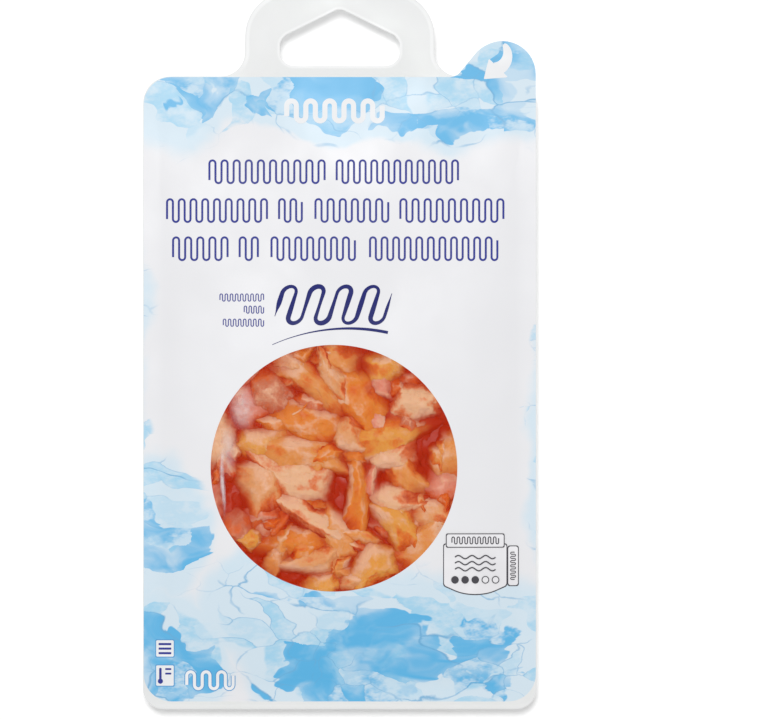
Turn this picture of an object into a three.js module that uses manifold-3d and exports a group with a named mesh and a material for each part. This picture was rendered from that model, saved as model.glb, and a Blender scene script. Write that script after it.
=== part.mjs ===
// A retail pack of smoked salmon offcuts. A shallow thermoformed tray with a hanging tab holds a
// heap of salmon pieces. A laminated lid closes it: a clear sealing film over the whole mouth, and
// on it a printed film with a peel tab and a round window.
//
// Units are millimetres. The pack lies on its back: X runs across it, Y along it towards the
// hanging tab, and Z up from the floor of the tray to the lid. The origin is the middle of the
// pack's outline, on the surface it lies on.
import * as THREE from "three";
import { mergeVertices } from "three/addons/utils/BufferGeometryUtils.js";
import Module from "manifold-3d";

const wasm = await Module();
wasm.setup();

// The pack's outline.
const PACK_WIDTH = 130;
const PACK_LENGTH = 237;
const SHOULDER_ABOVE_FOOT = 209; // from the foot edge to the edge that the hanging tab rises from
const FOOT_CORNER = 6.8;
const SHOULDER_CORNER = 9;
const FOOT_Y = -PACK_LENGTH / 2;
const TOP_Y = PACK_LENGTH / 2;
const SHOULDER_Y = FOOT_Y + SHOULDER_ABOVE_FOOT;
const CORNER_STEPS = 4; // the flats that stand for each rounded corner

// The hanging tab and the delta-shaped hole for the shop's peg.
const TAB_WIDTH = 62.6;
const TAB_CORNER = 14.9;
const TAB_FILLET = 8;
const PEG_HOLE = { width: 39.6, foot: 94, eaves: 103.2, peak: 113 };
const PEG_HOLE_CORNER = { foot: 4.6, eaves: 4.2, peak: 3.5 };

// The tray: its wall, and the tub that hangs below the flange.
const WALL = 0.6;
const TRAY_HEIGHT = 13;
const SIDE_FLANGE = 5.5;
const FOOT_FLANGE = 8;
const SHOULDER_FLANGE = 6;
const MOUTH_CORNER = 12;
const DRAFT = THREE.MathUtils.degToRad(8);
const LIP_RADIUS = 1.2; // the bend from the flange into the wall
const FLOOR_RADIUS = 3; // the bend from the wall into the floor
const BEND_STEPS = 3;
const CAVITY_DEPTH = TRAY_HEIGHT - WALL;
const MOUTH = {
  halfWidth: PACK_WIDTH / 2 - SIDE_FLANGE,
  halfLength: (SHOULDER_ABOVE_FOOT - FOOT_FLANGE - SHOULDER_FLANGE) / 2,
  middleY: FOOT_Y + FOOT_FLANGE + (SHOULDER_ABOVE_FOOT - FOOT_FLANGE - SHOULDER_FLANGE) / 2,
};

// The lid: two films, which the gas in the pack lifts into a low dome over the mouth.
const FILM = 0.25;
const PLY_GAP = 0.1; // between the tray and the sealing film, and between the two films
const DOME = 1.4;
const DOME_FLATNESS = 4; // the power that keeps the middle of the dome flat and its rim steep
const LID_INSET = 0.3;
const LID_FOOT_MARGIN = 2.6; // the tray's flange shows below the foot edge of the lid
const LID_FOOT_CORNER = 9;
const PEEL_TAB = { top: 102.7, corner: 11, left: 48.2, root: 38.4, rootFillet: 4 };
const WINDOW = { x: -1.9, y: -38.9, radius: 40.7, sides: 72 };
const DOME_CELLS = { across: 10, along: 15 };

// The salmon: a core in the tub, and the offcuts that lie on it below the window.
const HEAP_CLEARANCE = 0.4;
const CORE_TOP = 7.4;
const OFFCUT_THICKNESS = 6.5;
const OFFCUT_TIP = THREE.MathUtils.degToRad(6); // the most that an offcut leans to one side
const OFFCUT_CUTS = { fewest: 6, spread: 3 }; // how many straight cuts an outline has
const CUT_REACH = { nearest: 0.86, spread: 0.12 }; // how far out a cut is, as a share of the half size
const CUT_STRAY = 0.3; // how far a cut turns from its even place, as a share of one step
const OFFCUT_LEVELS = [
  // the share of the outline, and of half the thickness, at each level from the top down
  { wide: 0, high: 1 },
  { wide: 0.76, high: 0.88 },
  { wide: 1, high: 0.3 },
  { wide: 0.8, high: -0.9 },
  { wide: 0, high: -1 },
];

// Each offcut that shows: where its middle lies, from the middle of the window, its length and
// width, how far its length is turned from the X axis, in degrees, and the height of its top.
const OFFCUTS = [
  // along the rim by the hanging tab
  { x: -28, y: 30.5, length: 14, width: 8, turn: 42, top: 11.4 },
  { x: -15, y: 37.5, length: 14, width: 8, turn: 26, top: 11.6 },
  { x: -7, y: 35.5, length: 10, width: 7, turn: 100, top: 10.2 },
  { x: 3, y: 37, length: 21, width: 12, turn: -20, top: 12.4 },
  { x: 13.5, y: 38, length: 10, width: 8, turn: 10, top: 10.4 },
  { x: 18, y: 32, length: 12.5, width: 9.5, turn: 20, top: 12.8 },
  { x: 24, y: 27.5, length: 19, width: 9, turn: 10, top: 11 },
  // the round lump, and the long strips beside it
  { x: -20.5, y: 23, length: 13.5, width: 12.5, turn: 0, top: 13.3 },
  { x: -10.5, y: 22.5, length: 13, width: 8, turn: -30, top: 11.4 },
  { x: -7, y: 27, length: 27, width: 8, turn: -36, top: 13 },
  { x: 3.5, y: 25, length: 29, width: 7.5, turn: -52, top: 13.7 },
  { x: 8.5, y: 24.5, length: 15, width: 8, turn: -62, top: 13 },
  { x: 13.5, y: 26, length: 10, width: 8, turn: -60, top: 11.8 },
  { x: 13.3, y: 17, length: 13, width: 7, turn: -72, top: 12.6 },
  { x: 25.5, y: 21.5, length: 16, width: 11, turn: 5, top: 13.8 },
  { x: 22, y: 15, length: 14, width: 6, turn: 0, top: 11.6 },
  // down the left side
  { x: -30, y: 18, length: 15, width: 11, turn: -55, top: 12.4 },
  { x: -27.5, y: 9, length: 17, width: 10, turn: -5, top: 12.9 },
  { x: -38, y: 6.5, length: 16, width: 10, turn: 60, top: 12.2 },
  { x: -39, y: -12, length: 22, width: 8, turn: 102, top: 11.6 },
  { x: -30.5, y: 0, length: 12, width: 7, turn: 35, top: 10.6 },
  { x: -32.5, y: -9, length: 14, width: 9, turn: 80, top: 10 },
  { x: -21, y: 2, length: 11, width: 8, turn: -30, top: 11.8 },
  { x: -24, y: -6, length: 18, width: 12.5, turn: -42, top: 13.4 },
  { x: -23.5, y: -15, length: 13, width: 6, turn: 0, top: 12.2 },
  { x: -32, y: -19, length: 12, width: 9, turn: -35, top: 12.2 },
  { x: -21.5, y: -20, length: 14, width: 9, turn: -15, top: 10.8 },
  { x: -27, y: -23.5, length: 8, width: 6, turn: 35, top: 12.8 },
  { x: -27, y: -28, length: 11, width: 9, turn: 40, top: 10.2 },
  // the large flakes in the middle
  { x: -6, y: 15, length: 21, width: 14.5, turn: -14, top: 13.2 },
  { x: -16.5, y: 13, length: 12, width: 7, turn: 5, top: 12.4 },
  { x: 4.5, y: 12, length: 10, width: 8, turn: -60, top: 13.6 },
  { x: -8.5, y: 4, length: 26, width: 12, turn: -12, top: 13.5 },
  { x: -9, y: -5.5, length: 22, width: 12.5, turn: 4, top: 13.8 },
  { x: -8, y: -11.5, length: 15, width: 5, turn: -5, top: 11.6 },
  { x: 12, y: 11.5, length: 11, width: 7, turn: 20, top: 11.8 },
  { x: 7.5, y: 3, length: 13, width: 8, turn: -10, top: 12.2 },
  { x: 7, y: -8, length: 20, width: 6.5, turn: 86, top: 13.6 },
  { x: 12, y: -7.5, length: 15, width: 6, turn: 80, top: 11.8 },
  // down the right side
  { x: 18, y: 8, length: 21, width: 12, turn: 20, top: 13.4 },
  { x: 30.5, y: 10.5, length: 14, width: 8, turn: 65, top: 9.8 },
  { x: 37.5, y: 5, length: 17, width: 11, turn: 65, top: 12.6 },
  { x: 38.5, y: -6.5, length: 14, width: 13, turn: 20, top: 12 },
  { x: 23, y: -4.5, length: 14, width: 10, turn: -48, top: 13 },
  { x: 20.5, y: -9.5, length: 13.5, width: 7, turn: -5, top: 13.8 },
  { x: 21.5, y: -17, length: 16, width: 11, turn: -35, top: 13.7 },
  { x: 33.5, y: -16, length: 17, width: 10, turn: -12, top: 12.8 },
  { x: 33, y: -11, length: 11, width: 7, turn: -30, top: 10.6 },
  { x: 31, y: -26, length: 17, width: 12, turn: 38, top: 12 },
  { x: 20, y: -35.5, length: 17, width: 8, turn: 32, top: 10.8 },
  { x: 15.5, y: -20, length: 17, width: 7, turn: -42, top: 10.4 },
  // the curled slice, and along the rim by the foot
  { x: -10.5, y: -15.5, length: 18, width: 9.5, turn: -18, top: 13.8 },
  { x: 0, y: -20, length: 17, width: 9, turn: -55, top: 13.5 },
  { x: -9, y: -24, length: 15, width: 10, turn: -5, top: 12.6 },
  { x: -6, y: -30.5, length: 20, width: 8, turn: 12, top: 13.4 },
  { x: 9.5, y: -22.5, length: 13, width: 6, turn: -22, top: 12.6 },
  { x: 14, y: -31.5, length: 14, width: 10.5, turn: 35, top: 13.6 },
  { x: -18.5, y: -28, length: 14, width: 8, turn: 68, top: 12.6 },
  { x: -24, y: -33, length: 12, width: 9, turn: 50, top: 11.6 },
  { x: -13.5, y: -37, length: 12, width: 8, turn: 0, top: 10.2 },
  { x: -4.5, y: -39.5, length: 13, width: 9, turn: 0, top: 12.6 },
  { x: 4.5, y: -36, length: 14, width: 6, turn: -22, top: 12 },
  { x: 6.5, y: -40.5, length: 10, width: 8, turn: 0, top: 12.3 },
  { x: 14, y: -40, length: 10, width: 8, turn: 0, top: 10.4 },
];

// ---------------------------------------------------------------- solids

// A closed geometry as a solid that can be joined and cut.
function solid(geometry) {
  const bare = geometry.clone();
  bare.deleteAttribute("normal");
  bare.deleteAttribute("uv");
  const merged = mergeVertices(bare, 1e-4);
  return new wasm.Manifold(
    new wasm.Mesh({
      numProp: 3,
      vertProperties: new Float32Array(merged.attributes.position.array),
      triVerts: new Uint32Array(merged.index.array),
    }),
  );
}

// A solid as a named mesh with its own material.
function piece(name, shape, look) {
  const found = shape.getMesh();
  const geometry = new THREE.BufferGeometry();
  geometry.setAttribute("position", new THREE.BufferAttribute(found.vertProperties, found.numProp));
  geometry.setIndex(new THREE.BufferAttribute(found.triVerts, 1));
  geometry.computeVertexNormals();
  const mesh = new THREE.Mesh(geometry, new THREE.MeshStandardMaterial({ ...look, flatShading: true }));
  mesh.name = name;
  return mesh;
}

// Moves each vertex of a geometry to the point that the rule gives for it.
function reshape(geometry, rule) {
  const at = geometry.attributes.position;
  const point = new THREE.Vector3();
  for (let i = 0; i < at.count; i++) {
    point.fromBufferAttribute(at, i);
    rule(point);
    at.setXYZ(i, point.x, point.y, point.z);
  }
  return geometry;
}

// ---------------------------------------------------------------- outlines

// A closed outline through corners [x, y, radius], each rounded by an arc. It runs anticlockwise.
function roundedOutline(corners) {
  const outline = new THREE.Shape();
  corners.forEach(([x, y, radius], i) => {
    const corner = new THREE.Vector2(x, y);
    const [fromX, fromY] = corners.at(i - 1);
    const [toX, toY] = corners[(i + 1) % corners.length];
    const back = new THREE.Vector2(fromX, fromY).sub(corner).normalize();
    const ahead = new THREE.Vector2(toX, toY).sub(corner).normalize();
    const half = Math.acos(THREE.MathUtils.clamp(back.dot(ahead), -1, 1)) / 2;
    const centre = back.clone().add(ahead).normalize().multiplyScalar(radius / Math.sin(half)).add(corner);
    const enter = back.clone().multiplyScalar(radius / Math.tan(half)).add(corner).sub(centre);
    const leave = ahead.clone().multiplyScalar(radius / Math.tan(half)).add(corner).sub(centre);
    const turnsRight = back.cross(ahead) > 0;
    outline.absarc(centre.x, centre.y, radius, enter.angle(), leave.angle(), turnsRight);
  });
  outline.closePath();
  return outline;
}

// The tray's outline: the flange with the hanging tab, and the peg hole through the tab.
function trayOutline() {
  const side = PACK_WIDTH / 2;
  const neck = TAB_WIDTH / 2;
  const outline = roundedOutline([
    [-side, FOOT_Y, FOOT_CORNER],
    [side, FOOT_Y, FOOT_CORNER],
    [side, SHOULDER_Y, SHOULDER_CORNER],
    [neck, SHOULDER_Y, TAB_FILLET],
    [neck, TOP_Y, TAB_CORNER],
    [-neck, TOP_Y, TAB_CORNER],
    [-neck, SHOULDER_Y, TAB_FILLET],
    [-side, SHOULDER_Y, SHOULDER_CORNER],
  ]);
  const wide = PEG_HOLE.width / 2;
  outline.holes.push(
    roundedOutline([
      [-wide, PEG_HOLE.foot, PEG_HOLE_CORNER.foot],
      [wide, PEG_HOLE.foot, PEG_HOLE_CORNER.foot],
      [wide, PEG_HOLE.eaves, PEG_HOLE_CORNER.eaves],
      [0, PEG_HOLE.peak, PEG_HOLE_CORNER.peak],
      [-wide, PEG_HOLE.eaves, PEG_HOLE_CORNER.eaves],
    ]),
  );
  return outline;
}

// The lid's outline: it stops short of the foot edge, and runs out into the peel tab.
function lidOutline() {
  const side = PACK_WIDTH / 2 - LID_INSET;
  const foot = FOOT_Y + LID_FOOT_MARGIN;
  const shoulder = SHOULDER_Y - LID_INSET;
  return roundedOutline([
    [-side, foot, LID_FOOT_CORNER],
    [side, foot, LID_FOOT_CORNER],
    [side, PEEL_TAB.top, PEEL_TAB.corner],
    [PEEL_TAB.left, PEEL_TAB.top, PEEL_TAB.corner],
    [PEEL_TAB.root, shoulder, PEEL_TAB.rootFillet],
    [-side, shoulder, SHOULDER_CORNER],
  ]);
}

// ---------------------------------------------------------------- tray

// The wall of the tub from the flange down to the floor, as how far it has come in from the mouth
// at each depth. The inner face has offset 0, and the outer face the wall's thickness.
function wallProfile(offset) {
  const lip = LIP_RADIUS - offset;
  const bend = FLOOR_RADIUS + offset;
  const straight = CAVITY_DEPTH - (LIP_RADIUS + FLOOR_RADIUS) * (1 - Math.sin(DRAFT));
  const reach = (LIP_RADIUS + FLOOR_RADIUS) * Math.cos(DRAFT) + straight * Math.tan(DRAFT);
  const levels = [];
  for (let i = 0; i <= BEND_STEPS; i++) {
    const turned = ((Math.PI / 2 - DRAFT) * i) / BEND_STEPS;
    levels.push({ inset: lip * Math.sin(turned), depth: LIP_RADIUS - lip * Math.cos(turned) });
  }
  for (let i = 0; i <= BEND_STEPS; i++) {
    const turned = DRAFT + ((Math.PI / 2 - DRAFT) * i) / BEND_STEPS;
    levels.push({
      inset: reach - bend * Math.cos(turned),
      depth: CAVITY_DEPTH - FLOOR_RADIUS + bend * Math.sin(turned),
    });
  }
  return levels;
}

// A block with the tub's form: the mouth's rounded rectangle, drawn in level by level.
function tubBlock(levels) {
  const { halfWidth, halfLength, middleY } = MOUTH;
  const mouth = roundedOutline([
    [-halfWidth, -halfLength, MOUTH_CORNER],
    [halfWidth, -halfLength, MOUTH_CORNER],
    [halfWidth, halfLength, MOUTH_CORNER],
    [-halfWidth, halfLength, MOUTH_CORNER],
  ]);
  const steps = levels.length - 1;
  const block = new THREE.ExtrudeGeometry(mouth, {
    depth: 1,
    steps,
    bevelEnabled: false,
    curveSegments: CORNER_STEPS,
  });
  const coreX = halfWidth - MOUTH_CORNER;
  const coreY = halfLength - MOUTH_CORNER;
  return solid(
    reshape(block, (point) => {
      const level = levels[steps - Math.round(point.z * steps)];
      const shrink = 1 - level.inset / MOUTH_CORNER;
      const fromX = THREE.MathUtils.clamp(point.x, -coreX, coreX);
      const fromY = THREE.MathUtils.clamp(point.y, -coreY, coreY);
      point.x = fromX + (point.x - fromX) * shrink;
      point.y = middleY + fromY + (point.y - fromY) * shrink;
      point.z = TRAY_HEIGHT - level.depth;
    }),
  );
}

function makeTray() {
  const flat = new THREE.ExtrudeGeometry(trayOutline(), {
    depth: WALL,
    bevelEnabled: false,
    curveSegments: CORNER_STEPS,
  });
  flat.translate(0, 0, TRAY_HEIGHT - WALL);
  const outside = tubBlock([{ inset: 0, depth: WALL / 2 }, ...wallProfile(WALL)]);
  const inside = tubBlock([{ inset: 0, depth: -1 }, ...wallProfile(0)]);
  return solid(flat).add(outside).subtract(inside);
}

// ---------------------------------------------------------------- lid

// How far the lid stands above the flange over a point of the mouth.
function domeAt(x, y) {
  const across = Math.min(1, Math.abs(x) / MOUTH.halfWidth);
  const along = Math.min(1, Math.abs(y - MOUTH.middleY) / MOUTH.halfLength);
  return DOME * (1 - across ** DOME_FLATNESS) * (1 - along ** DOME_FLATNESS);
}

// A block over the whole pack, from below its floor up to a top that follows the dome.
function domedBlock(height) {
  const { halfWidth, halfLength, middleY } = MOUTH;
  const { across, along } = DOME_CELLS;
  const margin = 2;
  const edge = { x: PACK_WIDTH / 2 + margin, low: FOOT_Y - margin, high: TOP_Y + margin };
  const block = new THREE.BoxGeometry(1, 1, 1, across + 2, along + 2, 1);
  return solid(
    reshape(block, (point) => {
      const column = Math.round((point.x + 0.5) * (across + 2));
      const row = Math.round((point.y + 0.5) * (along + 2));
      point.x = halfWidth * ((2 * (column - 1)) / across - 1);
      if (column === 0 || column === across + 2) point.x = edge.x * Math.sign(point.x);
      point.y = middleY + halfLength * ((2 * (row - 1)) / along - 1);
      if (row === 0) point.y = edge.low;
      if (row === along + 2) point.y = edge.high;
      point.z = point.z < 0 ? -1 : height + domeAt(point.x, point.y);
    }),
  );
}

// One film of the lid, lying from the given height, with the lid's outline.
function film(low) {
  const outline = new THREE.ExtrudeGeometry(lidOutline(), {
    depth: 2 * TRAY_HEIGHT,
    bevelEnabled: false,
    curveSegments: CORNER_STEPS,
  });
  const sheet = domedBlock(low + FILM).subtract(domedBlock(low));
  return solid(outline).intersect(sheet);
}

function windowCutter() {
  const cutter = new THREE.CylinderGeometry(WINDOW.radius, WINDOW.radius, 2 * TRAY_HEIGHT, WINDOW.sides);
  cutter.rotateX(Math.PI / 2);
  cutter.translate(WINDOW.x, WINDOW.y, TRAY_HEIGHT);
  return solid(cutter);
}

// ---------------------------------------------------------------- salmon

// A draw from 0 to 1 that is the same on every run.
function draw(seed, turn) {
  const value = Math.sin(seed * 127.1 + turn * 311.7) * 43758.5453;
  return value - Math.floor(value);
}

// The corners of an offcut's outline: a few straight cuts round its middle.
function cutOutline({ length, width, turn }, seed) {
  const count = OFFCUT_CUTS.fewest + Math.floor(OFFCUT_CUTS.spread * draw(seed, 3));
  const cuts = [];
  for (let i = 0; i < count; i++) {
    const facing = (2 * Math.PI * (i + CUT_STRAY * draw(seed, 10 + i))) / count;
    cuts.push({ facing, reach: CUT_REACH.nearest + CUT_REACH.spread * draw(seed, 30 + i) });
  }
  return cuts.map((cut, i) => {
    const next = cuts[(i + 1) % count];
    const x = cut.reach * Math.sin(next.facing) - next.reach * Math.sin(cut.facing);
    const y = next.reach * Math.cos(cut.facing) - cut.reach * Math.cos(next.facing);
    const corner = new THREE.Vector2(x, y).divideScalar(Math.sin(next.facing - cut.facing));
    corner.multiply(new THREE.Vector2(length / 2, width / 2));
    return corner.rotateAround(new THREE.Vector2(), THREE.MathUtils.degToRad(turn));
  });
}

// One offcut: its outline carried through the levels of its rounded edge, and leant to one side.
function offcut(row, seed) {
  const corners = cutOutline(row, seed);
  const last = OFFCUT_LEVELS.length - 1;
  const block = new THREE.SphereGeometry(1, corners.length, last);
  const { position, uv } = block.attributes;
  for (let i = 0; i < position.count; i++) {
    const level = OFFCUT_LEVELS[last - Math.round(uv.getY(i) * last)];
    const corner = corners[(i % (corners.length + 1)) % corners.length];
    position.setXYZ(i, corner.x * level.wide, corner.y * level.wide, (OFFCUT_THICKNESS / 2) * level.high);
  }
  block.rotateX(OFFCUT_TIP * (2 * draw(seed, 1) - 1));
  block.rotateY(OFFCUT_TIP * (2 * draw(seed, 2) - 1));
  block.translate(WINDOW.x + row.x, WINDOW.y + row.y, row.top - OFFCUT_THICKNESS / 2);
  return solid(block);
}

// The heap: the core and the pieces fused, kept clear of the tray and of the lid. Hollows that
// the fusing seals are filled, because only the outer skin of the largest body is kept.
function makeSalmon() {
  const sides = wallProfile(-HEAP_CLEARANCE);
  const room = tubBlock([{ inset: HEAP_CLEARANCE, depth: -2 * DOME }, ...sides]).intersect(
    domedBlock(TRAY_HEIGHT + PLY_GAP - HEAP_CLEARANCE),
  );
  const core = room.intersect(domedBlock(CORE_TOP));
  const pieces = OFFCUTS.map((row, i) => offcut(row, i + 1).intersect(room));
  const heap = pieces.reduce((whole, next) => whole.add(next), core);
  return heap.decompose().reduce((best, body) => (body.volume() > best.volume() ? body : best));
}

// ---------------------------------------------------------------- the pack

const sealLow = TRAY_HEIGHT + PLY_GAP;
const printLow = sealLow + FILM + PLY_GAP;

const pack = new THREE.Group();
pack.name = "salmon_pack";
pack.add(
  piece("tray", makeTray(), { color: 0xeceeed, roughness: 0.42 }),
  piece("salmon", makeSalmon(), { color: 0xde8c55, roughness: 0.3 }),
  piece("sealing_film", film(sealLow), { color: 0xf4f7f8, roughness: 0.08, transparent: true, opacity: 0.2 }),
  piece("printed_film", film(printLow).subtract(windowCutter()), { color: 0xe2eaf0, roughness: 0.3 }),
);

export default pack;
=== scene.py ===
from math import atan2, ceil, copysign, cos, exp, floor, hypot, log1p, pi, radians, sin, sqrt, tan

import bmesh
import bpy
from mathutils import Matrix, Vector, noise


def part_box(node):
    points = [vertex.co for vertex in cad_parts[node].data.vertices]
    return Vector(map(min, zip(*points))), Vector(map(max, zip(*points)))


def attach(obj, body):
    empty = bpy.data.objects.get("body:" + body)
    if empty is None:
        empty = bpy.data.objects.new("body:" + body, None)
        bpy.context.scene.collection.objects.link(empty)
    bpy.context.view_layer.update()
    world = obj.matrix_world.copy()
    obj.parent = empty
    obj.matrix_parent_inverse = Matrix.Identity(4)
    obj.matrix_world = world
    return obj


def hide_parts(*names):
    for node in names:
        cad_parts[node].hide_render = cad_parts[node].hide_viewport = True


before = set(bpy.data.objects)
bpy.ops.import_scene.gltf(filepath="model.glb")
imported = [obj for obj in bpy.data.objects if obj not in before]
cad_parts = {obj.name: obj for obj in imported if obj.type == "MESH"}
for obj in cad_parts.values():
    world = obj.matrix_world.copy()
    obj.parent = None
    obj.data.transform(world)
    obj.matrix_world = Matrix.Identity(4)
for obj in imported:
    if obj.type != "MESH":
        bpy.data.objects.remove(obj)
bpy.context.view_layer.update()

# ---- tray
# One sheet of white plastic, drawn down over a mould into a shallow tub with rounded corners.
# Its flange carries the lid all round and runs out into the hanging tab. The rim of the tab and
# of its peg hole is a low bead, which stops at the lid.
# The bead is painted whiter than the sheet, as a highlight along its rim.

MM = 0.001  # pieces are modelled in millimetres and finished in metres
tray_low, tray_high = [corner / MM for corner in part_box("tray")]
PACK_SIDE, TOP_Y, TRAY_HEIGHT = tray_high
FOOT_Y = tray_low.y
FLANGE_LENGTH = 209
SHOULDER_Y = FOOT_Y + FLANGE_LENGTH
FOOT_CORNER, SHOULDER_CORNER = 6.8, 9
TAB_SIDE, TAB_CORNER, TAB_FILLET = 31.3, 14.9, 8
PEG_SIDE = 19.8
PEG_FOOT, PEG_EAVES, PEG_PEAK = 94, 103.2, 113
PEG_FOOT_CORNER, PEG_EAVES_CORNER, PEG_PEAK_CORNER = 4.6, 4.2, 3.5
WALL = 0.6
SIDE_LEDGE, FOOT_LEDGE, SHOULDER_LEDGE = 5.5, 8, 6  # the flange's width round the mouth
MOUTH_SIDE = PACK_SIDE - SIDE_LEDGE
MOUTH_LOW, MOUTH_HIGH = FOOT_Y + FOOT_LEDGE, SHOULDER_Y - SHOULDER_LEDGE
MOUTH_Y = (MOUTH_LOW + MOUTH_HIGH) / 2
MOUTH_REACH = (MOUTH_HIGH - MOUTH_LOW) / 2
MOUTH_CORNER = 12
DRAFT = radians(8)
LIP_RADIUS = 1.2
FLOOR_RADIUS = 3
WALL_STEPS = 6
BEAD_WIDTH = 1.7
BEAD_RISE = 0.06
BEAD_STEPS = ((0.35, 1), (0.35, 1), (0.3, 0))  # shares of its width and its rise
PEG_BEAD_STEPS = ((0, 0.8), (0.55, 1), (1.1, 0))  # margin round the hole, and share of the rise
TAB_BEAD = (SHOULDER_Y + 0.5, SHOULDER_Y + 5)  # where the bead rises on the tab
FOOT_BEAD = (FOOT_Y + 1, FOOT_Y + 2.4)  # where it runs out at the foot
FOOT_BEAD_SHARE = 0.4
LONG_EDGE, LONG_EDGE_CUTS = 20, 12  # cuts for the bead to run out along a long edge
LIGHT_LEVEL = 1.06  # how brightly the lamps light a level surface


def seen(red, green, blue):
    """The surface colour that comes out as this screen colour, from 0 to 255."""
    levels = [value / 255 for value in (red, green, blue)]
    linear = [v / 12.92 if v <= 0.04045 else ((v + 0.055) / 1.055) ** 2.4 for v in levels]
    return (*[value / LIGHT_LEVEL for value in linear], 1)


TRAY_GREY, TRAY_WHITE, BEAD_HIGHLIGHT = seen(230, 232, 231), seen(235, 236, 236), seen(242, 243, 243)


def smoothstep(low, high, value):
    """0 below low, 1 above high, and smooth between them."""
    share = min(1, max(0, (value - low) / (high - low)))
    return share * share * (3 - 2 * share)


def rounded_face(bm, corners, segments=10):
    """A flat face through corners (x, y, radius), anticlockwise, each rounded."""
    known = set(bm.faces)
    points = [bm.verts.new((x, y, 0)) for x, y, radius in corners]
    bm.faces.new(points)
    for i, (x, y, radius) in enumerate(corners):
        here = Vector((x, y))
        back = Vector(corners[i - 1][:2]) - here
        ahead = Vector(corners[(i + 1) % len(corners)][:2]) - here
        bmesh.ops.bevel(
            bm,
            geom=[points[i]],
            offset=radius / tan(back.angle(ahead) / 2),
            affect="VERTICES",
            segments=segments,
            profile=0.5,
            material=-1,
        )
    bm.normal_update()
    return (set(bm.faces) - known).pop()


def open_loop(bm, face):
    """Takes the face away and keeps its edges."""
    edges = face.edges[:]
    bmesh.ops.delete(bm, geom=[face], context="FACES_ONLY")
    return edges


def wall_levels(offset):
    """The tub's wall from its mouth to its floor, as (how far in, how deep). A positive offset
    lies outside its inner face."""
    depth = TRAY_HEIGHT - WALL
    lip = LIP_RADIUS - offset
    bend = FLOOR_RADIUS + offset
    straight = depth - (LIP_RADIUS + FLOOR_RADIUS) * (1 - sin(DRAFT))
    reach = (LIP_RADIUS + FLOOR_RADIUS) * cos(DRAFT) + straight * tan(DRAFT)
    turns = [(pi / 2 - DRAFT) * i / WALL_STEPS for i in range(WALL_STEPS + 1)]
    levels = [(lip * sin(turn), LIP_RADIUS - lip * cos(turn)) for turn in turns]
    for turn in [DRAFT + turn for turn in turns]:
        levels.append((reach - bend * cos(turn), depth - FLOOR_RADIUS + bend * sin(turn)))
    return levels


def both_sides(right):
    """An even outline's corners, from those of its right side, anticlockwise."""
    left = [(-x, y, radius) for x, y, radius in reversed(right) if x]
    return [left[-1], *right, *left[:-1]]


def mouth_face(bm):
    right = [(MOUTH_SIDE, y, MOUTH_CORNER) for y in (MOUTH_LOW, MOUTH_HIGH)]
    return rounded_face(bm, both_sides(right))


def draw_in(verts, inset, z):
    """Moves points of the mouth's outline in, as its rounded corners close up."""
    side = MOUTH_SIDE - MOUTH_CORNER
    reach = MOUTH_REACH - MOUTH_CORNER
    for vert in verts:
        middle = Vector((min(side, max(-side, vert.co.x)), 0, z))
        middle.y = MOUTH_Y + min(reach, max(-reach, vert.co.y - MOUTH_Y))
        outward = Vector((vert.co.x - middle.x, vert.co.y - middle.y, 0)).normalized()
        vert.co = middle + outward * (MOUTH_CORNER - inset)


def draw_down(bm, edges, levels):
    """Extrudes the mouth's edges down through the levels, and adds a floor."""
    for inset, depth in levels:
        made = bmesh.ops.extrude_edge_only(bm, edges=edges)["geom"]
        verts = [item for item in made if isinstance(item, bmesh.types.BMVert)]
        edges = [item for item in made if isinstance(item, bmesh.types.BMEdge)]
        draw_in(verts, inset, TRAY_HEIGHT - depth)
    bmesh.ops.contextual_create(bm, geom=edges)


def plug(socket, value):
    """Links an output to a socket, or sets the socket to a plain value."""
    if isinstance(value, bpy.types.NodeSocket):
        socket.id_data.links.new(value, socket)
    else:
        socket.default_value = value


def add_node(tree, kind, inputs=None, **settings):
    """A shader node with its settings and inputs."""
    made = tree.nodes.new("ShaderNode" + kind)
    for name, value in settings.items():
        setattr(made, name, value)
    for name, value in (inputs or {}).items():
        plug(made.inputs[name], value)
    return made


def blend(share, low, high):
    mix = add_node(share.id_data, "Mix", {0: share, 6: low, 7: high}, data_type="RGBA")
    return mix.outputs[2]


def ramp(value, start, end, low=0.0, high=1.0):
    """A smooth passage from low to high as the value goes from start to end."""
    span = {"Value": value, "From Min": start, "From Max": end, "To Min": low, "To Max": high}
    made = add_node(value.id_data, "MapRange", span, interpolation_type="SMOOTHSTEP")
    return made.outputs["Result"]


def reckon(operation, a, b, kind="Math"):
    tree = (a if isinstance(a, bpy.types.NodeSocket) else b).id_data
    return add_node(tree, kind, {0: a, 1: b}, operation=operation).outputs[0]


def times(a, b):
    return reckon("MULTIPLY", a, b)


def plus(a, b):
    return reckon("ADD", a, b)


def new_material(name):
    material = bpy.data.materials.new(name)
    material.use_nodes = True
    shader = material.node_tree.nodes["Principled BSDF"]
    place = add_node(material.node_tree, "TexCoord").outputs["Object"]
    return material, shader, place


def dress(node, **inputs):
    """Plugs in a node's inputs. Underscores stand for spaces."""
    for name, value in inputs.items():
        plug(node.inputs[name.replace("_", " ")], value)


def new_effect(name, values, outputs):
    """A node group that several materials share. It reads a place and some values."""
    tree = bpy.data.node_groups.new(name, "ShaderNodeTree")
    tree.interface.new_socket("Vector", in_out="INPUT", socket_type="NodeSocketVector")
    for label in values:
        tree.interface.new_socket(label, in_out="INPUT", socket_type="NodeSocketFloat")
    for label, kind in outputs.items():
        tree.interface.new_socket(label, in_out="OUTPUT", socket_type="NodeSocket" + kind)
    return tree, tree.nodes.new("NodeGroupInput").outputs, tree.nodes.new("NodeGroupOutput").inputs


def use_effect(effect, place, **inputs):
    made = place.id_data.nodes.new("ShaderNodeGroup")
    made.node_tree = effect
    dress(made, Vector=place, **inputs)
    return made.outputs


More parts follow.
